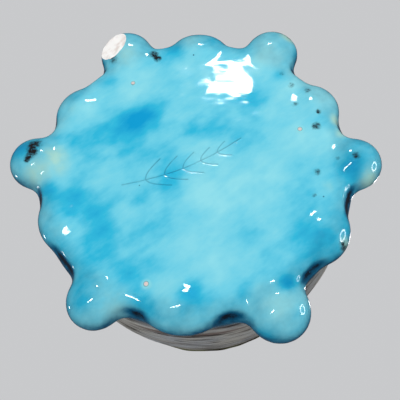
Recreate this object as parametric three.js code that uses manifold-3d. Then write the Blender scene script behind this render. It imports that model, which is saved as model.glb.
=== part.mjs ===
// A hand-built pottery pot that stands on six knob feet, with a scalloped edge between them.
// Millimetres, +Z up. The knob feet rest on z = 0 and the box of the whole pot is centred on the Z axis.
// The pot is shown the way it is put together in wet clay: a floor slab, a wall that stands on it,
// a seam coil pressed into the inside corner, a rim coil, and balls of clay luted over the slab's edge.

import * as THREE from 'three';
import { mergeVertices } from 'three/addons/utils/BufferGeometryUtils.js';
import Module from 'manifold-3d';

const wasm = await Module();
wasm.setup();

// Floor slab
const slabRadius = 67.5;
const slabThickness = 8;
const slabEdgeRound = 3;
const slabLift = 4; // from the surface the pot stands on up to the slab's underside

// Wall
const wallHeight = 89;
const wallThickness = 6;
const wallFootBulge = 1; // how far the wall's foot stands out past the slab's edge
const bellyBulge = 5.5; // how far the belly stands out past the slab's edge
const bellyLevel = 34; // height of the belly above the wall's foot
const neckBulge = 2.3; // how far the neck, just under the rim, stands out past the slab's edge

// Rim and seam coils
const rimWidth = 7.4;
const rimHeight = 6;
const seamSize = 7;

// Knob feet
const knobTurns = [1, 60, 121, 180, 241, 301]; // degrees round the pot
const knobRadii = [12.9, 13.2, 13.4, 12.3, 12.8, 12]; // each ball was rolled by hand
const knobReaches = [3.8, 6.2, 5.4, 3.2, 5.2, 3.6]; // ball centre past the slab's edge
const knobHalfHeight = 10.5;
const footFlat = 0.6; // how much of each knob's underside is worn flat where it stands

// Chip in the second knob
const chippedKnob = 1;
const chipDepth = 1.9; // below the knob's surface
const chipTurn = 13; // degrees round the pot, the way the broken face looks
const chipDip = 62; // degrees below the horizontal, the way the broken face looks

// Scallops between the knobs
const scallopTurns = [28, 91, 152, 211, 272, 333];
const scallopRadius = 12; // away from the axis
const scallopHalfWidths = [14.5, 15.5, 13.5, 14.5, 17, 15]; // along the slab's edge
const scallopHalfHeight = 9;
const scallopLift = 1.6; // from the surface the pot stands on up to each scallop's underside
const scallopInsets = [5.6, 3.4, 4.4, 4.6, 5.2, 6.8]; // ball centre inside the slab's edge

// Gap between pieces, where the potter's slip would be
const slipGap = 0.3;

// Smoothness
const roundSteps = 56;
const ballSteps = 20;
const ballRings = 12;
const wallSteps = 12;
const arcSteps = 6;

// Levels that follow from the sizes above
const slabTop = slabLift + slabThickness;
const wallBottom = slabTop + slipGap;
const wallTop = wallBottom + wallHeight;
const rimBottom = wallTop + slipGap;

const turquoise = { color: 0x4fb4cf, roughness: 0.12, metalness: 0 };
const brushedSlip = { color: 0x857d74, roughness: 0.35, metalness: 0 };
const insideGlaze = { color: 0x63bfd2, roughness: 0.15, metalness: 0 };

function glaze(finish) {
  return new THREE.MeshStandardMaterial(finish);
}

// A closed three.js geometry as a solid that can be cut
function solidFrom(geometry) {
  const bare = geometry.clone();
  bare.deleteAttribute('normal');
  bare.deleteAttribute('uv');
  const welded = mergeVertices(bare, 1e-4);
  const triVerts = new Uint32Array(welded.index.array);
  const vertProperties = new Float32Array(welded.attributes.position.array);
  return new wasm.Manifold(new wasm.Mesh({ numProp: 3, vertProperties, triVerts }));
}

function geometryFrom(solid) {
  const { vertProperties, triVerts } = solid.getMesh();
  const geometry = new THREE.BufferGeometry();
  geometry.setAttribute('position', new THREE.BufferAttribute(vertProperties, 3));
  geometry.setIndex(new THREE.BufferAttribute(triVerts, 1));
  geometry.computeVertexNormals();
  return geometry;
}

// A profile of [radius, height] points turned about the Z axis
function turned(profile) {
  const points = profile.map(([radius, height]) => new THREE.Vector2(radius, height));
  return new THREE.LatheGeometry(points, roundSteps).rotateX(Math.PI / 2);
}

// Points of an arc in the [radius, height] plane, angles in degrees
function arc(radius, height, size, from, to) {
  const points = [];
  for (let step = 0; step <= arcSteps; step += 1) {
    const angle = THREE.MathUtils.degToRad(from + ((to - from) * step) / arcSteps);
    points.push([radius + size * Math.cos(angle), height + size * Math.sin(angle)]);
  }
  return points;
}

// The wall's outside, from its foot up to its top, moved outwards by an offset
function wallOutside(offset) {
  const curve = new THREE.SplineCurve([
    new THREE.Vector2(slabRadius + wallFootBulge, wallBottom),
    new THREE.Vector2(slabRadius + bellyBulge, wallBottom + bellyLevel),
    new THREE.Vector2(slabRadius + neckBulge, wallTop),
  ]);
  return curve.getPoints(wallSteps).map((point) => [point.x + offset, point.y]);
}

// The slab and the wall as one filled body, grown by the slip gap, that the clay balls are pressed over
function pressedEnvelope() {
  const edge = slabRadius + slipGap;
  const underside = slabLift - slipGap;
  const outside = wallOutside(slipGap);
  const [wallFootRadius] = outside[0];
  return solidFrom(turned([
    [0, underside],
    ...arc(edge - slabEdgeRound, underside + slabEdgeRound, slabEdgeRound, -90, 0),
    [edge, slabTop],
    [wallFootRadius, slabTop],
    ...outside,
    [0, wallTop],
  ]));
}

function slab() {
  const rounded = arc(slabRadius - slabEdgeRound, slabLift + slabEdgeRound, slabEdgeRound, -90, 0);
  return turned([[0, slabLift], ...rounded, [slabRadius, slabTop], [0, slabTop]]);
}

function wall() {
  const outside = wallOutside(0);
  const inside = wallOutside(-wallThickness).reverse();
  return turned([...outside, ...inside, outside[0]]);
}

function rimCoil() {
  const middle = slabRadius + neckBulge - wallThickness / 2;
  const halfWidth = rimWidth / 2;
  const profile = [[middle + wallThickness / 2, rimBottom]];
  const beadTop = arc(0, 0, 1, -20, 200);
  for (const [across, up] of beadTop) {
    profile.push([middle + across * halfWidth, rimBottom + rimHeight / 2 + (up * rimHeight) / 2]);
  }
  profile.push([middle - wallThickness / 2, rimBottom]);
  profile.push(profile[0]);
  return turned(profile);
}

function seamCoil() {
  const corner = slabRadius + wallFootBulge - wallThickness - slipGap;
  const hollow = arc(corner - seamSize, wallBottom + seamSize, seamSize, -90, 0);
  const profile = [[corner, wallBottom], ...hollow.reverse(), [corner, wallBottom]];
  return turned(profile);
}

// A ball of clay, pressed longer along the slab's edge and squashed in height, out at a distance from the axis
function clayBall(radius, halfWidth, halfHeight, reach, height) {
  const ball = new THREE.SphereGeometry(1, ballSteps, ballRings);
  ball.rotateX(Math.PI / 2);
  ball.scale(radius, halfWidth, halfHeight);
  ball.translate(reach, 0, height);
  return ball;
}

// A block that fills everything below a level
function below(level) {
  const size = 4 * slabRadius;
  const block = new THREE.BoxGeometry(size, size, size);
  block.translate(0, 0, level - size / 2);
  return solidFrom(block);
}

// The block that breaks the chip away, in the frame of a knob that lies along +X
function chipBlock(knobRadius, reach, height, turn) {
  const size = 2 * knobRadius;
  const dip = THREE.MathUtils.degToRad(chipDip);
  const surface = Math.hypot(knobRadius * Math.cos(dip), knobHalfHeight * Math.sin(dip));
  const block = new THREE.BoxGeometry(size, size, size);
  block.translate(size / 2 + surface - chipDepth, 0, 0);
  block.rotateY(dip);
  block.rotateZ(THREE.MathUtils.degToRad(chipTurn - turn));
  block.translate(reach, 0, height);
  return solidFrom(block);
}

function turnTo(solid, degrees) {
  const geometry = geometryFrom(solid);
  geometry.rotateZ(THREE.MathUtils.degToRad(degrees));
  return geometry;
}

function footKnob(index, envelope) {
  const radius = knobRadii[index];
  const reach = slabRadius + knobReaches[index];
  const height = knobHalfHeight - footFlat;
  let solid = solidFrom(clayBall(radius, radius, knobHalfHeight, reach, height));
  solid = solid.subtract(below(0)).subtract(envelope);
  if (index === chippedKnob) {
    solid = solid.subtract(chipBlock(radius, reach, height, knobTurns[index]));
  }
  return turnTo(solid, knobTurns[index]);
}

function edgeScallop(index, envelope) {
  const reach = slabRadius - scallopInsets[index];
  const height = scallopLift + scallopHalfHeight;
  const ball = clayBall(scallopRadius, scallopHalfWidths[index], scallopHalfHeight, reach, height);
  return turnTo(solidFrom(ball).subtract(envelope), scallopTurns[index]);
}

const pot = new THREE.Group();

function add(name, geometry, finish) {
  const mesh = new THREE.Mesh(geometry, glaze(finish));
  mesh.name = name;
  pot.add(mesh);
}

const envelope = pressedEnvelope();
add('base_slab', slab(), turquoise);
add('wall', wall(), brushedSlip);
add('seam_coil', seamCoil(), insideGlaze);
add('rim_coil', rimCoil(), turquoise);
for (let index = 0; index < knobTurns.length; index += 1) {
  add(`foot_knob_${index + 1}`, footKnob(index, envelope), turquoise);
}
for (let index = 0; index < scallopTurns.length; index += 1) {
  add(`edge_scallop_${index + 1}`, edgeScallop(index, envelope), turquoise);
}

// The knobs differ a little, so the whole pot is slid until its box is centred on the axis
const box = new THREE.Box3().setFromObject(pot, true);
const centre = box.getCenter(new THREE.Vector3());
pot.position.set(-centre.x, -centre.y, -box.min.z);

export default pot;
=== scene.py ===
"""The looks of a hand-built pottery pot that stands on six knob feet.

Everything is in metres, in the frame of the CAD model: +Z goes up out of the mouth and the
knobs rest on z = 0. The glazed underside is modelled as one lump of clay, so that the knobs and
scallops flow into the floor, and is then divided into the pieces that the potter joined. The
wall, the seam coil and the rim are turned profiles.
"""

import math

import bpy
import numpy as np
from bpy.props import FloatProperty, FloatVectorProperty, IntProperty, PointerProperty
from bpy.types import Operator, Panel, PropertyGroup
from mathutils import Matrix, Vector, noise


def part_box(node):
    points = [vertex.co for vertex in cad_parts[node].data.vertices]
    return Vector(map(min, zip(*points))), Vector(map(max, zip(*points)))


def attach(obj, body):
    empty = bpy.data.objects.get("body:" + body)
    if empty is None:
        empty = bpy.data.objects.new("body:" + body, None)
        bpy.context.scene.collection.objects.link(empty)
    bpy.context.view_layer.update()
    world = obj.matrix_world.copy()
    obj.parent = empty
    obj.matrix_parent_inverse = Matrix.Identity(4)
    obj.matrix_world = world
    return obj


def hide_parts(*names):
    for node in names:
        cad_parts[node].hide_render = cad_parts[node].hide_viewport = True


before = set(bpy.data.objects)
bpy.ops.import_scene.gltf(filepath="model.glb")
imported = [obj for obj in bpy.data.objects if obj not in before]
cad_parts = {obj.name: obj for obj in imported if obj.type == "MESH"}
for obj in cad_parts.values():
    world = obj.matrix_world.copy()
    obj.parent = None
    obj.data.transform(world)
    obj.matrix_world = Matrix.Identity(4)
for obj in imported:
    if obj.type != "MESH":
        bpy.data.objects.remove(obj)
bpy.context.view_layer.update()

bl_info = {
    "name": "Footed pottery pot",
    "version": (1, 0, 0),
    "blender": (4, 5, 0),
    "location": "3D View > Sidebar > Pot",
    "description": "Models a glazed pottery pot on knob feet around its CAD frame",
    "category": "Object",
}

MM = 0.001
FULL_TURN = 2 * math.pi
KNOBS = [f"foot_knob_{number}" for number in range(1, 7)]
SCALLOPS = [f"edge_scallop_{number}" for number in range(1, 7)]


# ---------------------------------------------------------------- what the frame says


def node_points(node):
    """The corners of a CAD node's mesh as rows of x, y and z."""
    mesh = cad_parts[node].data
    flat = np.zeros(len(mesh.vertices) * 3)
    mesh.vertices.foreach_get("co", flat)
    return flat.reshape(-1, 3)


def pot_axis():
    """Where the pot's own axis stands, which is a little off the frame's because the knobs differ."""
    low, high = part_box("wall")
    middle = (low + high) / 2
    return Vector((middle.x, middle.y, 0))


AXIS = pot_axis()
SLAB_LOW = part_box("base_slab")[0].z
SLAB_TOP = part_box("base_slab")[1].z
SLAB_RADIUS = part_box("base_slab")[1].x - AXIS.x
WALL_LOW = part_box("wall")[0].z
WALL_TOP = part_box("wall")[1].z
RIM_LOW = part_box("rim_coil")[0].z
RIM_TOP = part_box("rim_coil")[1].z
RIM_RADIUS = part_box("rim_coil")[1].x - AXIS.x
SEAM_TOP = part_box("seam_coil")[1].z


def ring_radii(node):
    """The radius and height of each corner of a turned node."""
    points = node_points(node)
    radii = np.hypot(points[:, 0] - AXIS.x, points[:, 1] - AXIS.y)
    return radii, points[:, 2]


def wall_curve():
    """A smooth curve through the outside of the CAD wall: radius for a height."""
    radii, heights = ring_radii("wall")
    levels = np.unique(heights.round(5))
    outer = [radii[abs(heights - level) < 0.1 * MM].max() for level in levels]
    return np.poly1d(np.polyfit(levels, outer, 4))


WALL_OUTSIDE = wall_curve()
WALL_THICKNESS = np.ptp(ring_radii("wall")[0][abs(ring_radii("wall")[1] - WALL_TOP) < 0.1 * MM])


def flat_direction(turn):
    return Vector((math.cos(turn), math.sin(turn), 0))


class ClayBall:
    """A ball pressed over the slab's edge: its centre, its size away from the axis and half its height."""

    def __init__(self, node):
        points = node_points(node)
        lowest = points[:, 2].min()
        sole = points[points[:, 2] < lowest + 0.05 * MM]
        x, y = (sole[:, :2].min(0) + sole[:, :2].max(0)) / 2
        self.node = node
        self.turn = math.atan2(y - AXIS.y, x - AXIS.x)
        outwards = np.array(flat_direction(self.turn))
        reach = (points - np.array((x, y, 0))) @ outwards
        widest = points[reach.argmax(), 2]
        self.radius = reach.max()
        self.centre = Vector((x, y, widest))
        self.half_height = widest - lowest


BALLS = {node: ClayBall(node) for node in KNOBS + SCALLOPS}

# Half the length of each scallop along the slab's edge, in millimetres.
SCALLOP_WIDTHS = dict(zip(SCALLOPS, (14.5, 15.5, 13.5, 14.5, 17, 15)))


# ---------------------------------------------------------------- sizes and colours to change


def tint(red, green, blue):
    """A colour given as 0 to 255 screen values, as the linear colour that a shader takes."""
    return tuple((value / 255) ** 2.2 for value in (red, green, blue))


def colour_prop(name, description, rgb):
    return FloatVectorProperty(name=name, description=description, subtype="COLOR", size=3,
                               min=0, max=1, default=tint(*rgb))


def length_prop(name, description, millimetres):
    return FloatProperty(name=name, description=description, unit="LENGTH", precision=5,
                         default=millimetres * MM)


class PotSizes(PropertyGroup):
    """Sizes of the clay work that the CAD frame leaves open."""

    clay_grain: length_prop("Clay grain", "Size of the mesh faces on the underside", 1.1)
    swell: length_prop("Swell", "Added to each ball for what the smoothing takes away", -0.2)
    fillet: length_prop("Fillet", "Radius of the clay smeared into the corners between balls and slab", 3.2)
    smoothing: IntProperty(name="Smoothing", default=6,
                           description="Passes of smoothing after the balls are luted on")
    ripple_height: length_prop("Ripple height", "Height of the slow unevenness of the floor", 0.35)
    dent_height: length_prop("Dent height", "Height of the small finger dents in the glaze", 0.05)
    mark_depth: length_prop("Mark depth", "Depth of the incised sprig", 0.16)
    mark_width: length_prop("Mark width", "Width of the incised lines", 0.6)
    chip_depth: length_prop("Chip depth", "How deep the flake is broken out of the knob", 2.8)
    stroke_depth: length_prop("Stroke depth", "Depth of the brush strokes round the wall", 0.3)
    skirt_height: length_prop("Skirt height", "How far the dark glaze climbs the wall", 9)


class PotColours(PropertyGroup):
    """Colours of the glazes and the clay."""

    pale: colour_prop("Pale aqua", "Glaze where it is thinnest on the floor", (138, 214, 226))
    aqua: colour_prop("Aqua", "Usual light glaze", (106, 200, 222))
    turquoise: colour_prop("Turquoise", "Usual glaze", (52, 178, 212))
    cerulean: colour_prop("Cerulean", "Glaze in the deep patches", (20, 150, 202))
    cream: colour_prop("Cream green", "Glaze worn thin over the clay", (164, 210, 198))
    # Teal and navy are also painted shade on the lobes' sides, in hollows and at the wall's foot.
    teal: colour_prop("Dark teal", "Glaze pooled in valleys", (8, 86, 120))
    navy: colour_prop("Navy", "Glaze at its thickest, near the wall", (12, 26, 40))
    iron: colour_prop("Iron", "Iron specks", (34, 32, 34))
    clay: colour_prop("Bare clay", "Fired clay where it is chipped", (250, 248, 245))
    slip: colour_prop("Slip", "Ground colour of the brushed wall", (184, 182, 175))
    stroke: colour_prop("Stroke", "Brown of the brush strokes", (48, 38, 30))
    olive: colour_prop("Olive", "Olive glaze near the rim", (104, 106, 78))


# ---------------------------------------------------------------- small modelling tools


def look_at_nothing():
    """Leaves edit mode and deselects everything."""
    if bpy.context.object and bpy.context.object.mode != "OBJECT":
        bpy.ops.object.mode_set(mode="OBJECT")
    bpy.ops.object.select_all(action="DESELECT")


def choose(*pieces):
    """Selects only these objects. The first is the active one."""
    look_at_nothing()
    for piece in pieces:
        piece.select_set(True)
    bpy.context.view_layer.objects.active = pieces[0]


def new_piece(name):
    """Names the primitive that was just added and puts its place and size into its mesh."""
    piece = bpy.context.object
    piece.name = name
    piece.data.name = name
    bpy.ops.object.transform_apply(location=True, rotation=True, scale=True)
    return piece


def finish_with(piece, kind, **settings):
    """Adds a modifier and applies it."""
    choose(piece)
    modifier = piece.modifiers.new(kind.title(), kind)
    for name, value in settings.items():
        setattr(modifier, name, value)
    bpy.ops.object.modifier_apply(modifier=modifier.name)


def copy_of(piece, name):
    choose(piece)
    bpy.ops.object.duplicate()
    twin = bpy.context.object
    twin.name = name
    twin.data.name = name
    return twin


def points_of(piece):
    flat = np.zeros(len(piece.data.vertices) * 3)
    piece.data.vertices.foreach_get("co", flat)
    return flat.reshape(-1, 3)


def normals_of(piece):
    flat = np.zeros(len(piece.data.vertices) * 3)
    piece.data.vertices.foreach_get("normal", flat)
    return flat.reshape(-1, 3)


def move_points(piece, points):
    piece.data.vertices.foreach_set("co", points.ravel())
    piece.data.update()


def select_where(piece, wanted):
    """Goes into edit mode with only the wanted vertices and the faces between them selected."""
    choose(piece)
    bpy.ops.object.mode_set(mode="EDIT")
    bpy.ops.mesh.select_mode(type="VERT")
    bpy.ops.mesh.select_all(action="DESELECT")
    bpy.ops.object.mode_set(mode="OBJECT")
    piece.data.vertices.foreach_set("select", wanted)
    bpy.ops.object.mode_set(mode="EDIT")


def turned_ring(name, profile, steps):
    """A closed ring: a loop of (radius, height) corners spun once round the pot's axis."""
    look_at_nothing()
    bpy.ops.mesh.primitive_circle_add(vertices=len(profile), radius=1, fill_type="NOTHING")
    piece = new_piece(name)
    corners = np.array([(AXIS.x + radius, AXIS.y, height) for radius, height in profile])
    move_points(piece, corners)
    bpy.ops.object.mode_set(mode="EDIT")
    bpy.ops.mesh.select_all(action="SELECT")
    bpy.ops.mesh.spin(steps=steps, angle=FULL_TURN, center=AXIS, axis=(0, 0, 1), use_auto_merge=True)
    bpy.ops.mesh.select_all(action="SELECT")
    bpy.ops.mesh.remove_doubles(threshold=0.001 * MM)
    bpy.ops.mesh.normals_make_consistent(inside=False)
    bpy.ops.object.mode_set(mode="OBJECT")
    bpy.ops.object.shade_smooth()
    return piece


def smooth_step(values, low, high):
    """0 below low, 1 above high and a soft rise between them."""
    share = np.clip((values - low) / (high - low), 0, 1)
    return share * share * (3 - 2 * share)


def grain(points, size, seed):
    """Smooth noise from about -1 to 1 at each point, with bumps about this size."""
    shift = Vector((seed * 7.3, seed * 3.1, seed * 5.7))
    return np.array([noise.noise(Vector(point) / size + shift) for point in points])


def store(piece, name, values):
    """Keeps one number for each vertex, for a material to read."""
    attribute = piece.data.attributes.new(name, "FLOAT", "POINT")
    attribute.data.foreach_set("value", values.astype(np.float32))


# ---------------------------------------------------------------- materials


def wire(tree, socket, value):
    """Links a value that is an output socket, and sets any other value."""
    if isinstance(value, bpy.types.NodeSocket):
        tree.links.new(value, socket)
    elif isinstance(value, tuple) and len(value) == 3 and socket.type == "RGBA":
        socket.default_value = (*value, 1)
    else:
        socket.default_value = value


def add_node(tree, kind, settings=None, **inputs):
    node = tree.nodes.new(kind)
    for name, value in (settings or {}).items():
        setattr(node, name, value)
    for name, value in inputs.items():
        wire(tree, node.inputs[name.replace("_", " ")], value)
    return node


def calculate(tree, operation, first, second=0.0):
    node = add_node(tree, "ShaderNodeMath", {"operation": operation})
    wire(tree, node.inputs[0], first)
    wire(tree, node.inputs[1], second)
    return node.outputs[0]


def mix_colour(tree, factor, first, second):
    node = add_node(tree, "ShaderNodeMix", {"data_type": "RGBA"})
    wire(tree, node.inputs[0], factor)
    wire(tree, node.inputs[6], first)
    wire(tree, node.inputs[7], second)
    return node.outputs[2]


def soft_range(tree, value, low, high):
    """0 below low, 1 above high and a soft rise between them."""
    node = add_node(tree, "ShaderNodeMapRange", {"interpolation_type": "SMOOTHSTEP"}, Value=value)
    wire(tree, node.inputs["From Min"], low)
    wire(tree, node.inputs["From Max"], high)
    return node.outputs[0]


def soft_fall(tree, value, low, high):
    """1 below low, 0 above high and a soft fall between them."""
    return soft_range(tree, calculate(tree, "MULTIPLY", value, -1), -high, -low)


def place(tree, stretch=(1, 1, 1), shift=(0, 0, 0), turn=0.0):
    """The piece's own coordinates in metres, turned about the pot's axis, stretched and shifted."""
    coordinates = add_node(tree, "ShaderNodeTexCoord")
    mapping = add_node(tree, "ShaderNodeMapping", {"vector_type": "TEXTURE"}, Rotation=(0, 0, turn),
                       Scale=tuple(1 / share for share in stretch), Location=shift)
    tree.links.new(coordinates.outputs["Object"], mapping.inputs["Vector"])
    return mapping.outputs[0]


def cloud(tree, vector, size, detail=2.0, roughness=0.5, distortion=0.0):
    """Noise with features about this size in metres."""
    node = add_node(tree, "ShaderNodeTexNoise", Vector=vector, Scale=1 / size, Detail=detail,
                    Roughness=roughness, Distortion=distortion)
    return node.outputs[0]


def colour_steps(tree, value, steps):
    """A colour ramp from a list of (position, colour)."""
    node = add_node(tree, "ShaderNodeValToRGB", Fac=value)
    ramp = node.color_ramp
    while len(ramp.elements) < len(steps):
        ramp.elements.new(0.5)
    for element, (position, colour) in zip(ramp.elements, steps):
        element.position = position
        element.color = (*colour, 1)
    return node.outputs[0]


def distance_from(tree, point):
    """How far the surface is from a point, in metres."""
    node = add_node(tree, "ShaderNodeVectorMath", {"operation": "DISTANCE"})
    wire(tree, node.inputs[0], place(tree))
    wire(tree, node.inputs[1], point)
    return node.outputs["Value"]


def painted(tree, name):
    """A number that the modelling stored on each vertex."""
    return add_node(tree, "ShaderNodeAttribute", {"attribute_name": name}).outputs["Fac"]


def bumps(tree, height, distance):
    return add_node(tree, "ShaderNodeBump", Height=height, Distance=distance, Strength=1.0).outputs[0]


def new_material(name):
    material = bpy.data.materials.new(name)
    material.use_nodes = True
    tree = material.node_tree
    tree.nodes.clear()
    surface = tree.nodes.new("ShaderNodeBsdfPrincipled")
    output = tree.nodes.new("ShaderNodeOutputMaterial")
    tree.links.new(surface.outputs[0], output.inputs[0])
    return material, tree, surface


def glassy(surface, roughness):
    """The clear, wet gloss of an earthenware glaze."""
    surface.inputs["Roughness"].default_value = roughness
    surface.inputs["IOR"].default_value = 1.45
    surface.inputs["Coat Weight"].default_value = 0.3
    surface.inputs["Coat Roughness"].default_value = 0.02


def mottled_colour(tree, colours, lean):
    """Turquoise glaze in soft patches. Lean is added to the pattern: below 0 is paler, above 0 is deeper."""
    slow = cloud(tree, place(tree, turn=0.5, shift=(0.21, 0.13, 0.37)), 34 * MM, detail=1.5, distortion=0.35)
    middle = cloud(tree, place(tree, turn=1.1, shift=(0.17, 0.29, 0.11)), 15 * MM, detail=2, distortion=0.25)
    brushed = place(tree, stretch=(0.45, 1, 1), turn=math.radians(-38), shift=(0.11, 0.07, 0.23))
    fine = cloud(tree, brushed, 4.5 * MM, detail=3, roughness=0.6)
    pattern = calculate(tree, "ADD", 0.11, lean)
    for part, share in ((slow, 0.33), (middle, 0.25), (fine, 0.2)):
        pattern = calculate(tree, "ADD", pattern, calculate(tree, "MULTIPLY", part, share))
    return colour_steps(tree, pattern, [
        (0.34, tuple(colours.pale)),
        (0.48, tuple(colours.aqua)),
        (0.59, tuple(colours.turquoise)),
        (0.72, tuple(colours.cerulean)),
    ])


def pinholes(tree, size, share):
    """Small round dots: 1 in the middle of a dot. Only this share of the cells has one."""
    cells = add_node(tree, "ShaderNodeTexVoronoi", Vector=place(tree), Scale=1 / size, Randomness=1.0)
    dot = soft_range(tree, calculate(tree, "SUBTRACT", 0.075, cells.outputs["Distance"]), 0, 0.05)
    lottery = add_node(tree, "ShaderNodeSeparateColor", Color=cells.outputs["Color"]).outputs[0]
    chosen = calculate(tree, "LESS_THAN", lottery, share)
    return calculate(tree, "MULTIPLY", dot, chosen)


def turquoise_glaze(colours):
    """Glaze of the underside, with thin cream patches, dark pools that also carry painted shade, iron specks
    and pinholes.
    """
    material, tree, surface = new_material("pot_turquoise_glaze")
    here = place(tree)
    colour = mottled_colour(tree, colours, painted(tree, "lean"))

    streaks = cloud(tree, here, 6 * MM, detail=3, roughness=0.6)
    thin = calculate(tree, "MULTIPLY", painted(tree, "thin"), calculate(tree, "ADD", streaks, 0.45))
    colour = mix_colour(tree, soft_range(tree, thin, 0.1, 1.0), colour, tuple(colours.cream))

    # Teal, then navy, from the stored pool and shade: glaze pooling plus painted shade on the lobes' sides,
    # hollows and wall's foot.
    wander = calculate(tree, "ADD", calculate(tree, "MULTIPLY", streaks, 1.2), 0.4)
    pool_and_shade = calculate(tree, "MULTIPLY", painted(tree, "pool_and_shade"), wander)
    colour = mix_colour(tree, soft_range(tree, pool_and_shade, 0.0, 0.8), colour, tuple(colours.teal))
    colour = mix_colour(tree, soft_range(tree, pool_and_shade, 0.7, 1.05), colour, tuple(colours.navy))

    crumbs = cloud(tree, here, 1.7 * MM, detail=3, roughness=0.65)
    specks = calculate(tree, "MULTIPLY", painted(tree, "iron"), crumbs)
    colour = mix_colour(tree, soft_range(tree, specks, 0.14, 0.52), colour, tuple(colours.iron))
    colour = mix_colour(tree, pinholes(tree, 7 * MM, 0.12), colour, tuple(colours.teal))
    for x, y in STILT_MARKS:
        scar = distance_from(tree, (x * MM, y * MM, SLAB_LOW))
        halo = soft_fall(tree, scar, 1.2 * MM, 2.6 * MM)
        colour = mix_colour(tree, calculate(tree, "MULTIPLY", halo, 0.55), colour, tuple(colours.pale))
        lip = soft_fall(tree, scar, 0.95 * MM, 1.25 * MM)
        colour = mix_colour(tree, calculate(tree, "MULTIPLY", lip, 0.45), colour, tuple(colours.iron))
        sherd = soft_fall(tree, scar, 0.7 * MM, 0.95 * MM)
        colour = mix_colour(tree, sherd, colour, tint(214, 196, 190))
    wire(tree, surface.inputs["Base Color"], colour)

    skin = cloud(tree, place(tree, stretch=(0.3, 1, 1), turn=0.1), 4.5 * MM, detail=2, roughness=0.4)
    wire(tree, surface.inputs["Normal"], bumps(tree, skin, 0.13 * MM))
    glassy(surface, 0.07)
    return material


def inside_glaze(colours):
    """Glaze inside the pot, a little deeper towards the floor, with faint turning rings."""
    material, tree, surface = new_material("pot_inside_glaze")
    depth = add_node(tree, "ShaderNodeSeparateXYZ", Vector=place(tree)).outputs["Z"]
    lean = calculate(tree, "MULTIPLY", calculate(tree, "SUBTRACT", 55 * MM, depth), 1.6)
    colour = mottled_colour(tree, colours, lean)
    colour = mix_colour(tree, pinholes(tree, 9 * MM, 0.2), colour, tuple(colours.teal))
    wire(tree, surface.inputs["Base Color"], colour)
    rings = cloud(tree, place(tree, stretch=(0.12, 0.12, 1)), 3 * MM, detail=2)
    wire(tree, surface.inputs["Normal"], bumps(tree, rings, 0.3 * MM))
    glassy(surface, 0.12)
    return material


def brushed_slip(colours):
    """Grey slip with thin brown brush strokes that run round the wall, under a satin glaze."""
    material, tree, surface = new_material("pot_brushed_slip")
    height = add_node(tree, "ShaderNodeSeparateXYZ", Vector=place(tree)).outputs["Z"]
    hairs = cloud(tree, place(tree, stretch=(0.04, 0.04, 1)), 0.8 * MM, detail=3, roughness=0.65,
                  distortion=0.15)
    broad = cloud(tree, place(tree, stretch=(0.1, 0.1, 1), shift=(0.3, 0.1, 0)), 6 * MM, detail=2)
    patches = cloud(tree, place(tree), 22 * MM, detail=3, roughness=0.6)
    colour = mix_colour(tree, soft_range(tree, patches, 0.4, 0.65), tuple(colours.slip), tint(172, 176, 180))
    colour = mix_colour(tree, soft_range(tree, broad, 0.5, 0.7), colour, tint(124, 110, 104))
    valley = painted(tree, "groove")
    stroke = calculate(tree, "ADD", hairs, calculate(tree, "MULTIPLY", valley, 0.3))
    colour = mix_colour(tree, soft_range(tree, stroke, 0.5, 0.67), colour, tuple(colours.stroke))

    rim_run = calculate(tree, "ADD", height, calculate(tree, "MULTIPLY", patches, 26 * MM))
    near_rim = soft_range(tree, rim_run, WALL_TOP - 4 * MM, WALL_TOP + 12 * MM)
    olive = mix_colour(tree, soft_range(tree, hairs, 0.42, 0.6), tuple(colours.olive), tuple(colours.stroke))
    colour = mix_colour(tree, near_rim, colour, olive)

    # Navy towards the wall's foot: dark glaze, and painted shade where the foot sits under the lobes.
    foot_run = calculate(tree, "SUBTRACT", height, calculate(tree, "MULTIPLY", patches, 16 * MM))
    foot_glaze_and_shade = soft_fall(tree, foot_run, WALL_LOW - 5 * MM, WALL_LOW + 4 * MM)
    colour = mix_colour(tree, foot_glaze_and_shade, colour, tuple(colours.navy))
    wire(tree, surface.inputs["Base Color"], colour)
    wire(tree, surface.inputs["Normal"], bumps(tree, hairs, 0.25 * MM))
    surface.inputs["Roughness"].default_value = 0.38
    surface.inputs["Coat Weight"].default_value = 0.25
    surface.inputs["Coat Roughness"].default_value = 0.15
    return material


def rim_glaze(colours):
    """Olive and brown glaze on the rim, where the turquoise from the inside breaks over it."""
    material, tree, surface = new_material("pot_rim_glaze")
    here = place(tree)
    spread = cloud(tree, here, 9 * MM, detail=3, roughness=0.6)
    fine = cloud(tree, place(tree, stretch=(0.15, 0.15, 1)), 1.6 * MM, detail=3)
    brown = mix_colour(tree, soft_range(tree, fine, 0.4, 0.62), tuple(colours.olive), tuple(colours.stroke))
    inner = mottled_colour(tree, colours, 0.02)
    reach = calculate(tree, "ADD", painted(tree, "inward"), calculate(tree, "MULTIPLY", spread, 0.5))
    colour = mix_colour(tree, soft_range(tree, reach, 0.62, 0.86), brown, inner)
    wire(tree, surface.inputs["Base Color"], colour)
    wire(tree, surface.inputs["Normal"], bumps(tree, spread, 0.3 * MM))
    glassy(surface, 0.14)
    return material


def bare_clay(colours):
    """White fired clay, dry and finely grained."""
    material, tree, surface = new_material("pot_bare_clay")
    here = place(tree)
    crumbs = cloud(tree, here, 0.9 * MM, detail=4, roughness=0.7)
    stain = cloud(tree, here, 5 * MM, detail=2)
    colour = mix_colour(tree, soft_range(tree, stain, 0.45, 0.7), tuple(colours.clay), tint(226, 216, 210))
    wire(tree, surface.inputs["Base Color"], colour)
    wire(tree, surface.inputs["Normal"], bumps(tree, crumbs, 0.15 * MM))
    surface.inputs["Roughness"].default_value = 0.85
    return material


def material_for(maker):
    """The material that a maker function makes, made once."""
    found = bpy.data.materials.get(f"pot_{maker.__name__}")
    return found or maker(bpy.context.scene.pot_colours)


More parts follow.
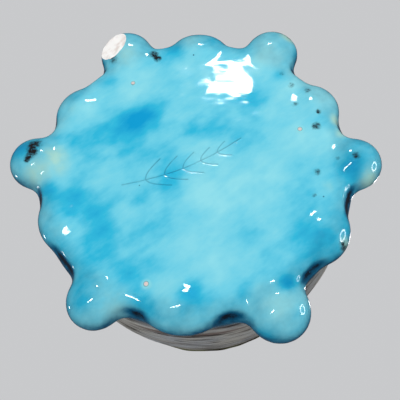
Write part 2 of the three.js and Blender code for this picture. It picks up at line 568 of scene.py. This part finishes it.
def dress(piece, slot, *makers):
    """Gives a finished piece its materials and its body. The slot argument is not used."""
    piece.data.materials.clear()
    for maker in makers:
        piece.data.materials.append(material_for(maker))
    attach(piece, "root")


# ---------------------------------------------------------------- the glazed underside


# Patches of the glaze on the underside, in millimetres in the frame: x, y, radius, strength.
DEEP_PATCHES = [
    (20, 24, 6, 0.2), (26, 19, 8, 0.14), (34, 15, 8, 0.12), (43, 12, 7, 0.1), (0, 15, 6, 0.1),
    (-8, 20, 9, 0.06), (-28, 31, 8, 0.1), (-41, 45, 4, 0.1), (-16, 24, 8, 0.04), (41, 43, 5, 0.16),
    (9, 61, 5, 0.16), (-10, 69, 5, 0.12), (49, -21, 7, 0.1), (40, -29, 9, 0.07), (33, -42, 9, 0.08),
    (22, -51, 7, 0.09), (21, -20, 4, 0.12), (61, -15, 5, 0.16), (6, -10, 5, 0.07), (10, -28, 7, 0.06),
    (-3, -60, 6, 0.14), (-22, -58, 5, 0.12), (-39, -55, 3.5, 0.2), (-45, -36, 8, 0.08), (-25, -35, 6, 0.05),
    (-68, -6, 5, 0.14), (-30, -76, 4, 0.12), (39, -62, 6, 0.14), (77, 4, 5, 0.14), (15, -65, 5, 0.1),
    (66, 24, 4, 0.1), (48, 55, 3, 0.16), (-50, 58, 3, 0.16), (30, 76, 5, 0.14), (-2, 75, 5, 0.1),
]
PALE_PATCHES = [
    (49, 29, 6, 0.08), (31, 38, 8, 0.12), (20, 48, 8, 0.12), (6, 57, 7, 0.1), (56, 0, 8, 0.06),
    (38, -12, 7, 0.08), (27, -24, 5, 0.1), (14, 7, 8, 0.05), (-3, 4, 6, 0.06), (-38, 13, 7, 0.09),
    (-49, 10, 8, 0.12), (-8, -18, 11, 0.09), (-30, -5, 11, 0.07), (-30, -27, 10, 0.05), (-10, -45, 10, 0.09),
    (8, -56, 6, 0.1), (0, -38, 8, 0.07), (-20, -49, 8, 0.08), (-33, 55, 9, 0.13), (-48, 49, 6, 0.1),
    (-45, 35, 7, 0.1), (-56, 40, 6, 0.14), (-60, 30, 6, 0.14), (-62, 9, 6, 0.12), (-36, -65, 8, 0.14),
    (-45, -59, 5, 0.12), (2, 67, 6, 0.14), (47, -35, 6, 0.08), (-35, -38, 7, 0.06), (33, 60, 8, 0.06),
]
CREAM_PATCHES = [
    (61, 2, 6, 0.75), (68, -8, 6, 0.75), (57, -5, 6, 0.4), (33, 57, 7, 0.5), (-33, 56, 7, 0.3),
    (-46, 68, 4, 1.1), (-39, 74, 4, 0.8), (-65, 20, 3.5, 1.1), (-66, 12, 3, 0.8), (-76, -11, 5, 0.9),
    (-58, -14, 4, 0.4), (-63, -38, 3, 0.8), (-36, -64, 8, 0.3), (26, -66, 5, 0.4), (24, -58, 5, 0.25),
    (53, -34, 5, 0.4), (55, 27, 5, 0.35), (15, -56, 2.5, 0.5), (-48, 14, 2.5, 0.5),
]
IRON_PATCHES = [
    (70, 6, 4, 0.95), (70, 1, 2.8, 0.9), (71.5, -2.3, 1.5, 1.1), (20.5, 59.5, 2.5, 1.1), (18, 56.3, 2.2, 1.1),
    (40, 56, 3.2, 0.8), (-53, 35, 2, 0.8), (-57, 23, 1.5, 0.9), (-55.5, 16, 2.2, 1.1), (-47, 28, 2, 0.7),
    (-46, 39, 2.2, 0.7), (-54, -7, 1.9, 0.9), (-70, -1, 2.2, 0.9), (-63, -1, 1.2, 0.8), (-42, 72, 2.5, 0.9),
    (-47, 68, 2, 0.8), (-42, 46, 1.9, 0.6), (-52, -18, 1.2, 0.9), (29, 41, 1.2, 0.9), (-62, -39, 2.5, 0.9),
]
STILT_MARKS = [(15.2, -55.7), (-48.3, 14.5), (29.1, 41.7)]
SPRIG_START = Vector((29, -13))
SPRIG_END = Vector((-22, 10))


def patchwork(points, patches):
    """The sum of soft round patches at each point."""
    total = np.zeros(len(points))
    for x, y, size, strength in patches:
        away = np.hypot(points[:, 0] - x * MM, points[:, 1] - y * MM) / (size * MM)
        total += strength * np.exp(-away * away)
    return total


def slab_lump():
    """The floor slab as a disc with a rounded lower edge."""
    look_at_nothing()
    bpy.ops.mesh.primitive_cylinder_add(vertices=120, radius=SLAB_RADIUS, depth=SLAB_TOP - SLAB_LOW,
                                        location=(AXIS.x, AXIS.y, (SLAB_TOP + SLAB_LOW) / 2))
    slab = new_piece("slab_lump")
    select_where(slab, points_of(slab)[:, 2] < (SLAB_TOP + SLAB_LOW) / 2)
    bpy.ops.mesh.bevel(offset=3 * MM, segments=4)
    bpy.ops.object.mode_set(mode="OBJECT")
    return slab


def ball_lump(ball, swell):
    """A squashed ball of clay, trimmed where the inside of the pot is."""
    look_at_nothing()
    bpy.ops.mesh.primitive_uv_sphere_add(segments=48, ring_count=30, radius=1, location=ball.centre,
                                         rotation=(0, 0, ball.turn))
    half_width = SCALLOP_WIDTHS.get(ball.node, ball.radius / MM) * MM
    bpy.context.object.scale = (ball.radius + swell, half_width + swell, ball.half_height + swell / 2)
    lump = new_piece(ball.node + "_lump")
    bpy.ops.mesh.primitive_cylinder_add(vertices=96, radius=SLAB_RADIUS - 1.5 * MM, depth=40 * MM,
                                        location=(AXIS.x, AXIS.y, SLAB_TOP + 20 * MM))
    inside = new_piece("inside_cutter")
    finish_with(lump, "BOOLEAN", operation="DIFFERENCE", object=inside, solver="EXACT")
    bpy.data.objects.remove(inside)
    return lump


def skirt_lump(height):
    """The band of clay and glaze round the wall's foot that softens the corner over the balls."""
    inner = SLAB_RADIUS - 1.5 * MM
    levels = np.linspace(SLAB_TOP - 2 * MM, SLAB_TOP + height, 6)
    proud = np.array((2.0, 2.1, 1.8, 1.1, 0.3, -0.6)) * MM
    outside = [(WALL_OUTSIDE(max(level, WALL_LOW)) + extra, level) for level, extra in zip(levels, proud)]
    return turned_ring("skirt_lump", [(inner, levels[0])] + outside + [(inner, levels[-1])], 160)


def settle(points, height, size, seed):
    """Noise that moves points up and down or in and out, in metres."""
    return grain(points, size, seed) * height


def smear_corners(clay, reach, grain_size):
    """Fills inside corners with clay: the lump is grown, made one skin and shrunk back in small steps."""
    finish_with(clay, "DISPLACE", strength=reach, mid_level=0)
    finish_with(clay, "REMESH", mode="VOXEL", voxel_size=grain_size, use_smooth_shade=True)
    shrink_steps = 8
    for _ in range(shrink_steps):
        finish_with(clay, "SMOOTH", factor=0.5, iterations=2)
        finish_with(clay, "DISPLACE", strength=-reach / shrink_steps, mid_level=0)
    finish_with(clay, "REMESH", mode="VOXEL", voxel_size=grain_size, use_smooth_shade=True)


def blended_clay(sizes):
    """The slab, the balls and the skirt as one lump, smeared together where they meet."""
    lumps = [slab_lump(), skirt_lump(sizes.skirt_height)]
    lumps += [ball_lump(BALLS[node], sizes.swell) for node in KNOBS + SCALLOPS]
    choose(*lumps)
    bpy.ops.object.join()
    clay = bpy.context.object
    clay.name = "glazed_clay"
    finish_with(clay, "REMESH", mode="VOXEL", voxel_size=sizes.clay_grain, use_smooth_shade=True)
    smear_corners(clay, sizes.fillet, sizes.clay_grain)
    finish_with(clay, "SMOOTH", factor=0.5, iterations=sizes.smoothing)
    return clay


def keep_above_ground(points):
    """Wears the knobs flat where they would reach below the surface the pot stands on."""
    ground = 0.05 * MM
    points[:, 2] = np.maximum(points[:, 2], ground)
    return points


def uneven(clay, sizes):
    """Slow ripples and small dents, as fingers leave them."""
    points = points_of(clay)
    normals = normals_of(clay)
    slow = settle(points, sizes.ripple_height, 26 * MM, 1)
    slow += settle(points, sizes.ripple_height / 3, 12 * MM, 2)
    fine = settle(points, sizes.dent_height, 5.5 * MM, 3)
    flatness = smooth_step(-normals[:, 2], 0.2, 0.8)
    calm = 0.35 + 0.65 * flatness
    calm[points[:, 2] > SLAB_TOP + 1 * MM] = 0.35
    points += normals * ((slow + fine) * calm)[:, None]
    move_points(clay, keep_above_ground(points))


def sprig_strokes():
    """The incised mark: a bowed stem with short curved leaves on both sides, as lists of points."""
    along = (SPRIG_END - SPRIG_START).normalized()
    across = Vector((-along.y, along.x))
    length = (SPRIG_END - SPRIG_START).length
    bow = 3.5

    def stem_point(share):
        return SPRIG_START + along * (length * share) + across * (bow * math.sin(math.pi * share))

    strokes = [[stem_point(step / 24) for step in range(25)]]
    leaf_pairs = 5
    for pair in range(leaf_pairs):
        root = stem_point(0.18 + 0.15 * pair)
        for side in (-1, 1):
            size = 9.5 - 1.1 * pair
            leaf = []
            for step in range(9):
                out = step / 8
                leaf.append(root + along * (size * out) + across * (side * size * 0.75 * out ** 0.6))
            strokes.append(leaf)
    return strokes


def distance_to_strokes(points, strokes):
    """How far each point is from the nearest stroke, seen from below, in metres."""
    nearest = np.full(len(points), 1.0)
    for stroke in strokes:
        for start, end in zip(stroke, stroke[1:]):
            first = np.array(start) * MM
            step = np.array(end) * MM - first
            away = points[:, :2] - first
            share = np.clip(away @ step / (step @ step), 0, 1)
            nearest = np.minimum(nearest, np.hypot(*(away - share[:, None] * step).T))
    return nearest


def incise(clay, sizes):
    """Cuts the sprig into the underside, on a finer patch of mesh."""
    strokes = sprig_strokes()
    points = points_of(clay)
    under = points[:, 2] < (SLAB_LOW + SLAB_TOP) / 2
    close = distance_to_strokes(points, strokes) < 2.2 * sizes.mark_width
    select_where(clay, under & close)
    bpy.ops.mesh.subdivide(number_cuts=3, smoothness=0)
    bpy.ops.object.mode_set(mode="OBJECT")
    points = points_of(clay)
    under = points[:, 2] < (SLAB_LOW + SLAB_TOP) / 2
    away = distance_to_strokes(points, strokes) / (sizes.mark_width / 2)
    groove = np.where(under, np.exp(-away ** 2), 0)
    points[:, 2] += groove * sizes.mark_depth
    move_points(clay, points)
    return groove


def roundness(clay, passes):
    """How far each point stands out of its surroundings, in metres. It is below 0 in a valley."""
    mesh = clay.data
    pairs = np.zeros(len(mesh.edges) * 2, np.int64)
    mesh.edges.foreach_get("vertices", pairs)
    first, second = pairs.reshape(-1, 2).T
    count = np.bincount(pairs, minlength=len(mesh.vertices))[:, None]
    points = points_of(clay)
    smooth = points.copy()
    for _ in range(passes):
        total = np.zeros_like(smooth)
        np.add.at(total, first, smooth[second])
        np.add.at(total, second, smooth[first])
        smooth = total / count
    return ((points - smooth) * normals_of(clay)).sum(1)


def paint(clay, groove):
    """Stores where the glaze is deep, thin, pooled or specked, and where painted shade darkens the lobes'
    sides, hollows and the corner at the wall's foot.
    """
    points = points_of(clay)
    bulge = roundness(clay, 14)
    under = 1 - smooth_step(points[:, 2], SLAB_TOP - 3 * MM, SLAB_TOP)
    lean = patchwork(points, DEEP_PATCHES) - patchwork(points, PALE_PATCHES)
    store(clay, "lean", lean * under)

    crown = smooth_step(bulge, 0.25 * MM, 0.9 * MM)
    cream = np.clip(patchwork(points, CREAM_PATCHES), 0, 1)
    thin = cream + 0.25 * crown
    store(clay, "thin", np.clip(thin, 0, 1.2) * under)

    radii = np.hypot(points[:, 0] - AXIS.x, points[:, 1] - AXIS.y)
    lobes = smooth_step(radii, SLAB_RADIUS - 10 * MM, SLAB_RADIUS - 2 * MM)
    facing = normals_of(clay)[:, 2]
    # Painted shade: on the lobes, surfaces that turn from facing down towards sideways are darkened.
    shaded_sides = smooth_step(facing, -0.8, -0.1) * (1 - 0.85 * smooth_step(facing, -0.1, 0.5)) * lobes
    # Hollows on the lobes: pooled glaze and painted shade.
    valley = smooth_step(-bulge, 0.1 * MM, 0.9 * MM) * lobes
    near_wall = smooth_step(-radii, -SLAB_RADIUS - 4 * MM, -SLAB_RADIUS)
    # Pooled glaze and painted shade where the slab's edge and the skirt sit behind the lobes, near the wall.
    foot_pool_and_shade = smooth_step(points[:, 2], 5 * MM, 9 * MM) * lobes * near_wall
    high = smooth_step(points[:, 2], 17 * MM, 22 * MM) * lobes
    # Real glaze pooling on the lobes, high skirt and groove, plus painted shade from the sides, hollows and
    # wall's foot.
    pool_and_shade = 0.26 * lobes + 0.4 * shaded_sides + 0.3 * valley + 0.8 * foot_pool_and_shade + 0.25 * high + 0.42 * groove
    store(clay, "pool_and_shade", np.clip(pool_and_shade * (1 - 0.6 * cream), 0, 1.2))
    store(clay, "iron", np.clip(patchwork(points, IRON_PATCHES), 0, 1.1) * under)


def cut_away(piece, point, normal):
    """Cuts a piece by a plane, closes it and keeps the side that the normal points away from."""
    choose(piece)
    bpy.ops.object.mode_set(mode="EDIT")
    bpy.ops.mesh.select_all(action="SELECT")
    bpy.ops.mesh.bisect(plane_co=point, plane_no=normal, use_fill=True, clear_outer=True)
    bpy.ops.object.mode_set(mode="OBJECT")


def divide(clay):
    """Divides the blended clay into the floor and one piece for each ball."""
    balls = sorted(BALLS.values(), key=lambda ball: ball.turn)
    inner_line = SLAB_RADIUS - 12 * MM
    floor = copy_of(clay, "glazed_floor")
    pieces = {"base_slab": floor}
    for index, ball in enumerate(balls):
        before = balls[index - 1].turn
        after = balls[(index + 1) % len(balls)].turn
        towards = flat_direction(ball.turn)
        tangent = AXIS + towards * inner_line
        cut_away(floor, tangent, towards)
        lobe = copy_of(clay, ball.node.replace("foot_", "glazed_").replace("edge_", "glazed_"))
        cut_away(lobe, tangent, -towards)
        gap_before = ((ball.turn - before) % FULL_TURN) / 2
        gap_after = ((after - ball.turn) % FULL_TURN) / 2
        cut_away(lobe, AXIS, flat_direction(ball.turn - gap_before - math.pi / 2))
        cut_away(lobe, AXIS, flat_direction(ball.turn + gap_after + math.pi / 2))
        pieces[ball.node] = lobe
    return pieces


def keep_one_skin(piece, clay):
    """Gives a divided piece the shading of the whole clay, so that no line shows where pieces meet."""
    finish_with(piece, "DATA_TRANSFER", object=clay, use_loop_data=True,
                data_types_loops={"CUSTOM_NORMAL"}, loop_mapping="POLYINTERP_NEAREST")


CHIPPED_KNOB = "foot_knob_2"
CHIP_TURN = math.radians(13)
CHIP_DIP = math.radians(62)


def chip(lobe, ball, depth):
    """Breaks a flake off a knob and bares the white clay under the glaze."""
    facing = flat_direction(CHIP_TURN) * math.cos(CHIP_DIP) - Vector((0, 0, math.sin(CHIP_DIP)))
    surface = math.hypot(ball.radius * math.cos(CHIP_DIP), ball.half_height * math.sin(CHIP_DIP))
    level = ball.centre + facing * (surface - depth)
    choose(lobe)
    bpy.ops.object.mode_set(mode="EDIT")
    bpy.ops.mesh.select_all(action="SELECT")
    bpy.ops.mesh.bisect(plane_co=level, plane_no=facing, use_fill=True, clear_outer=True)
    bpy.ops.mesh.region_to_loop()
    bpy.ops.mesh.mark_sharp()
    bpy.ops.object.mode_set(mode="OBJECT")
    lobe.data.materials.append(material_for(bare_clay))
    for polygon in lobe.data.polygons:
        close = abs((polygon.center - level).dot(facing)) < 0.02 * MM
        if close and polygon.normal.dot(facing) > 0.999:
            polygon.material_index = 1


class POT_OT_underside(Operator):
    """Models the floor, knob feet and scallops as blended clay and divides them into pieces"""

    bl_idname = "pot.underside"
    bl_label = "Glazed underside"

    def execute(self, context):
        sizes = context.scene.pot_sizes
        clay = blended_clay(sizes)
        uneven(clay, sizes)
        groove = incise(clay, sizes)
        paint(clay, groove)
        choose(clay)
        bpy.ops.object.shade_smooth()
        for node, piece in divide(clay).items():
            keep_one_skin(piece, clay)
            dress(piece, "turquoise_glaze", turquoise_glaze)
            if node == CHIPPED_KNOB:
                chip(piece, BALLS[node], sizes.chip_depth)
            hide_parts(node)
        bpy.data.objects.remove(clay)
        return {"FINISHED"}


# ---------------------------------------------------------------- the wall, seam coil and rim


def wall_profile():
    """The wall's outside in fine steps for the brush strokes, then its inside in coarse ones."""
    outside = [(WALL_OUTSIDE(level), level) for level in np.linspace(WALL_LOW, WALL_TOP, 168)]
    inside = [(WALL_OUTSIDE(level) - WALL_THICKNESS, level) for level in np.linspace(WALL_TOP, WALL_LOW, 28)]
    return outside + inside


class POT_OT_wall(Operator):
    """Turns the wall and works brush strokes round its outside"""

    bl_idname = "pot.wall"
    bl_label = "Brushed wall"

    def execute(self, context):
        sizes = context.scene.pot_sizes
        wall = turned_ring("brushed_wall", wall_profile(), 400)
        points = points_of(wall)
        out = points[:, :2] - np.array(AXIS[:2])
        radii = np.hypot(*out.T)
        outer = radii > WALL_OUTSIDE(points[:, 2]) - WALL_THICKNESS / 2
        lifted = points[:, 2] + grain(points, 30 * MM, 4) * 2.5 * MM
        stretched = np.column_stack([points[:, 0] * 0.05, points[:, 1] * 0.05, lifted])
        strokes = grain(stretched, 1.5 * MM, 5) + 0.6 * grain(stretched, 0.9 * MM, 6)
        hand = grain(points, 35 * MM, 7)
        inside_rings = grain(stretched, 5 * MM, 8)
        push = np.where(outer, strokes * sizes.stroke_depth, inside_rings * 0.4 * MM) + hand * 0.5 * MM
        ends = smooth_step(np.minimum(points[:, 2] - WALL_LOW, WALL_TOP - points[:, 2]), 0, 1.5 * MM)
        points[:, :2] += out / radii[:, None] * (push * ends)[:, None]
        move_points(wall, points)
        store(wall, "groove", np.where(outer, np.clip(-strokes, 0, 1), 0))
        dress(wall, "brushed_slip", brushed_slip, inside_glaze)
        middles = np.zeros(len(wall.data.polygons) * 3)
        wall.data.polygons.foreach_get("center", middles)
        middles = middles.reshape(-1, 3)
        reach = np.hypot(middles[:, 0] - AXIS.x, middles[:, 1] - AXIS.y)
        inner = reach < WALL_OUTSIDE(middles[:, 2]) - WALL_THICKNESS / 2
        wall.data.polygons.foreach_set("material_index", inner.astype(np.int32))
        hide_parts("wall")
        return {"FINISHED"}


class POT_OT_seam_coil(Operator):
    """Smooths the coil into the inside corner of the pot"""

    bl_idname = "pot.seam_coil"
    bl_label = "Seam coil"

    def execute(self, context):
        corner = WALL_OUTSIDE(WALL_LOW) - WALL_THICKNESS + 0.4 * MM
        size = SEAM_TOP - WALL_LOW
        floor = SLAB_TOP - 0.3 * MM
        hollow = []
        for step in range(13):
            angle = math.pi / 2 * step / 12
            hollow.append((corner - size + size * math.sin(angle), floor + size - size * math.cos(angle)))
        buried = corner + 1 * MM
        coil = turned_ring("glazed_seam_coil", [(buried, floor)] + hollow + [(buried, floor + size)], 200)
        points = points_of(coil)
        worked = normals_of(coil) * settle(points, 0.5 * MM, 9 * MM, 9)[:, None]
        worked[points[:, 2] < SLAB_TOP + 0.3 * MM] = 0
        move_points(coil, points + worked)
        dress(coil, "inside_glaze", inside_glaze)
        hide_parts("seam_coil")
        return {"FINISHED"}


def rim_profile():
    """A rolled lip that laps over the wall's top on both sides."""
    low = RIM_LOW - 4 * MM
    thickness = WALL_THICKNESS
    outer = WALL_OUTSIDE(low)
    middle = RIM_RADIUS - (RIM_RADIUS - min(ring_radii("rim_coil")[0])) / 2
    half_width = RIM_RADIUS - middle
    bead = (RIM_LOW + RIM_TOP) / 2
    half_height = (RIM_TOP - RIM_LOW) / 2
    profile = [(outer - 0.4 * MM, low), (outer + 0.15 * MM, low + 1 * MM)]
    for step in range(25):
        angle = math.radians(-35 + 250 * step / 24)
        profile.append((middle + half_width * math.cos(angle), bead + half_height * math.sin(angle)))
    profile += [(outer - thickness - 0.15 * MM, low + 1 * MM), (outer - thickness + 0.4 * MM, low)]
    return profile


class POT_OT_rim(Operator):
    """Rolls the lip of the pot"""

    bl_idname = "pot.rim"
    bl_label = "Rim"

    def execute(self, context):
        rim = turned_ring("glazed_rim", rim_profile(), 300)
        finish_with(rim, "SUBSURF", levels=1, render_levels=1)
        points = points_of(rim)
        out = points[:, :2] - np.array(AXIS[:2])
        radii = np.hypot(*out.T)
        inward = smooth_step(-radii, -RIM_RADIUS + 1 * MM, -RIM_RADIUS + 6 * MM)
        points[:, 2] += np.minimum(grain(points * [1, 1, 0.2], 40 * MM, 10), 0) * 1.6 * MM
        points += normals_of(rim) * settle(points, 0.35 * MM, 8 * MM, 11)[:, None]
        move_points(rim, points)
        store(rim, "inward", inward)
        choose(rim)
        bpy.ops.object.shade_smooth()
        dress(rim, "rim_glaze", rim_glaze)
        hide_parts("rim_coil")
        return {"FINISHED"}


# ---------------------------------------------------------------- the stage


VIEW_TILT = math.radians(24.45)
VIEW_SIDE = math.radians(3.61)
VIEW_DISTANCE = 196.6 * MM
VIEW_OFFSET = Vector((-3.3 * MM, -15.5 * MM))
LENS = 39.4
BACKGROUND = (199, 200, 202)


def view_axes():
    """Image right, image up and forward of a camera that looks up at the underside."""
    up = Vector((0, math.cos(VIEW_TILT), -math.sin(VIEW_TILT)))
    level = Vector((0, math.sin(VIEW_TILT), math.cos(VIEW_TILT)))
    forward = level * math.cos(VIEW_SIDE) + Vector((math.sin(VIEW_SIDE), 0, 0))
    return forward.cross(up), up, forward


def add_camera():
    right, up, forward = view_axes()
    target = AXIS + Vector((0, 0, 10 * MM))
    data = bpy.data.cameras.new("camera")
    data.lens = LENS
    data.clip_start = 1 * MM
    camera = bpy.data.objects.new("camera", data)
    bpy.context.scene.collection.objects.link(camera)
    turn = Matrix((right, up, -forward)).transposed().to_4x4()
    spot = target - right * VIEW_OFFSET.x + up * VIEW_OFFSET.y - forward * VIEW_DISTANCE
    camera.matrix_world = Matrix.Translation(spot) @ turn
    bpy.context.scene.camera = camera


def add_softbox(name, direction, distance, width, height, power, mirrored=True):
    """A rectangular light that faces the pot. One that isn't mirrored leaves no highlight."""
    data = bpy.data.lights.new(name, "AREA")
    data.shape = "RECTANGLE"
    data.size = width
    data.size_y = height
    data.energy = power
    light = bpy.data.objects.new(name, data)
    bpy.context.scene.collection.objects.link(light)
    aim = Vector(direction).normalized()
    target = AXIS + Vector((0, 0, 20 * MM))
    light.location = target + aim * distance
    light.rotation_euler = aim.to_track_quat("Z", "Y").to_euler()
    light.visible_glossy = mirrored


def add_floor():
    """A pale floor that is seen and shaded from above only."""
    look_at_nothing()
    bpy.ops.mesh.primitive_plane_add(size=60, location=(0, 0, -0.1 * MM))
    floor = new_piece("floor")
    material, tree, surface = new_material("floor_paint")
    far = soft_range(tree, distance_from(tree, (0, 0, 0)), 0.3, 1.6)
    paint_colour = mix_colour(tree, far, tint(140, 139, 138), (0, 0, 0))
    glow_colour = mix_colour(tree, far, tint(152, 152, 152), tint(*BACKGROUND))
    wire(tree, surface.inputs["Base Color"], paint_colour)
    wire(tree, surface.inputs["Emission Color"], glow_colour)
    surface.inputs["Emission Strength"].default_value = 1
    surface.inputs["Specular IOR Level"].default_value = 0
    surface.inputs["Roughness"].default_value = 0.8
    side = add_node(tree, "ShaderNodeNewGeometry").outputs["Backfacing"]
    clear = add_node(tree, "ShaderNodeBsdfTransparent")
    either = add_node(tree, "ShaderNodeMixShader")
    wire(tree, either.inputs[0], side)
    tree.links.new(surface.outputs[0], either.inputs[1])
    tree.links.new(clear.outputs[0], either.inputs[2])
    output = [node for node in tree.nodes if node.type == "OUTPUT_MATERIAL"][0]
    tree.links.new(either.outputs[0], output.inputs[0])
    floor.data.materials.append(material)
    floor.visible_shadow = False
    floor.visible_glossy = False
    floor.visible_diffuse = False


def add_ring_lamp():
    """A glowing ring beside the pot. It shows only as reflections."""
    look_at_nothing()
    bpy.ops.mesh.primitive_circle_add(vertices=64, radius=0.09, fill_type="NOTHING")
    ring = new_piece("ring_lamp")
    bpy.ops.object.mode_set(mode="EDIT")
    bpy.ops.mesh.select_all(action="SELECT")
    bpy.ops.mesh.extrude_edges_move()
    bpy.ops.transform.resize(value=(0.72, 0.72, 0.72))
    bpy.ops.object.mode_set(mode="OBJECT")
    direction = Vector((-0.95, -0.06, -0.2)).normalized()
    turn = direction.to_track_quat("Z", "Y").to_matrix().to_4x4()
    ring.matrix_world = Matrix.Translation(AXIS + direction * 0.45) @ turn
    choose(ring)
    bpy.ops.object.transform_apply(location=True, rotation=True, scale=True)
    material, tree, surface = new_material("ring_glow")
    surface.inputs["Base Color"].default_value = (0, 0, 0, 1)
    surface.inputs["Emission Color"].default_value = (1, 1, 1, 1)
    surface.inputs["Emission Strength"].default_value = 12
    ring.data.materials.append(material)
    ring.visible_camera = False
    ring.visible_shadow = False


def add_world():
    """A soft room that is darker below the floor and dim in reflections, seen as plain pale grey."""
    world = bpy.data.worlds.new("studio")
    world.use_nodes = True
    tree = world.node_tree
    direction = add_node(tree, "ShaderNodeTexCoord").outputs["Generated"]
    height = add_node(tree, "ShaderNodeSeparateXYZ", Vector=direction).outputs["Z"]
    upper = soft_range(tree, height, -0.6, -0.1)
    colour = mix_colour(tree, upper, tint(92, 93, 95), tint(170, 171, 173))
    path = add_node(tree, "ShaderNodeLightPath")
    colour = mix_colour(tree, path.outputs["Is Glossy Ray"], colour, tint(74, 75, 77))
    colour = mix_colour(tree, path.outputs["Is Camera Ray"], colour, tint(*BACKGROUND))
    wire(tree, tree.nodes["Background"].inputs[0], colour)
    bpy.context.scene.world = world


class POT_OT_stage(Operator):
    """Sets up the floor, the soft lights and the camera"""

    bl_idname = "pot.stage"
    bl_label = "Stage"

    def execute(self, context):
        add_world()
        add_floor()
        add_ring_lamp()
        add_softbox("window_below", (-0.02, 0.66, -0.75), 0.8, 0.115, 0.055, 0.8)
        add_softbox("lamp_below", (0.23, -0.17, -0.95), 0.6, 0.02, 0.18, 0.45)
        add_softbox("left_below", (0.91, -0.23, 0.2), 0.6, 0.05, 0.05, 0.12)
        add_softbox("fill_below", (0.0, 0.12, -0.99), 0.9, 0.5, 0.5, 5.8, mirrored=False)
        add_softbox("front_below", (0.1, -0.9, -0.3), 1.2, 0.5, 0.5, 2.2, mirrored=False)
        add_softbox("key_above", (-0.35, 0.5, 0.8), 1.4, 1.2, 1.2, 13, mirrored=False)
        add_softbox("fill_above", (0.7, -0.5, 0.7), 1.4, 1.2, 1.2, 6, mirrored=False)
        add_softbox("lamp_above", (-0.6, 0.2, 0.78), 1.2, 0.14, 0.14, 0.6)
        context.scene.view_settings.view_transform = "Standard"
        add_camera()
        return {"FINISHED"}


# ---------------------------------------------------------------- panel and run


class POT_PT_panel(Panel):
    """Lists the pieces of the pot in the order they are made"""

    bl_idname = "POT_PT_panel"
    bl_label = "Footed pot"
    bl_space_type = "VIEW_3D"
    bl_region_type = "UI"
    bl_category = "Pot"

    def draw(self, context):
        for group in (context.scene.pot_sizes, context.scene.pot_colours):
            column = self.layout.column()
            for name in group.__annotations__:
                column.prop(group, name)
        for step in STEPS:
            self.layout.operator(step.bl_idname)


STEPS = (POT_OT_underside, POT_OT_wall, POT_OT_seam_coil, POT_OT_rim, POT_OT_stage)
CLASSES = (PotSizes, PotColours) + STEPS + (POT_PT_panel,)


def register():
    for cls in CLASSES:
        bpy.utils.register_class(cls)
    bpy.types.Scene.pot_sizes = PointerProperty(type=PotSizes)
    bpy.types.Scene.pot_colours = PointerProperty(type=PotColours)


def unregister():
    del bpy.types.Scene.pot_colours
    del bpy.types.Scene.pot_sizes
    for cls in reversed(CLASSES):
        bpy.utils.unregister_class(cls)


def main():
    """Makes every piece in order."""
    register()
    bpy.ops.pot.underside()
    bpy.ops.pot.wall()
    bpy.ops.pot.seam_coil()
    bpy.ops.pot.rim()
    bpy.ops.pot.stage()


if __name__ == "__main__":
    main()
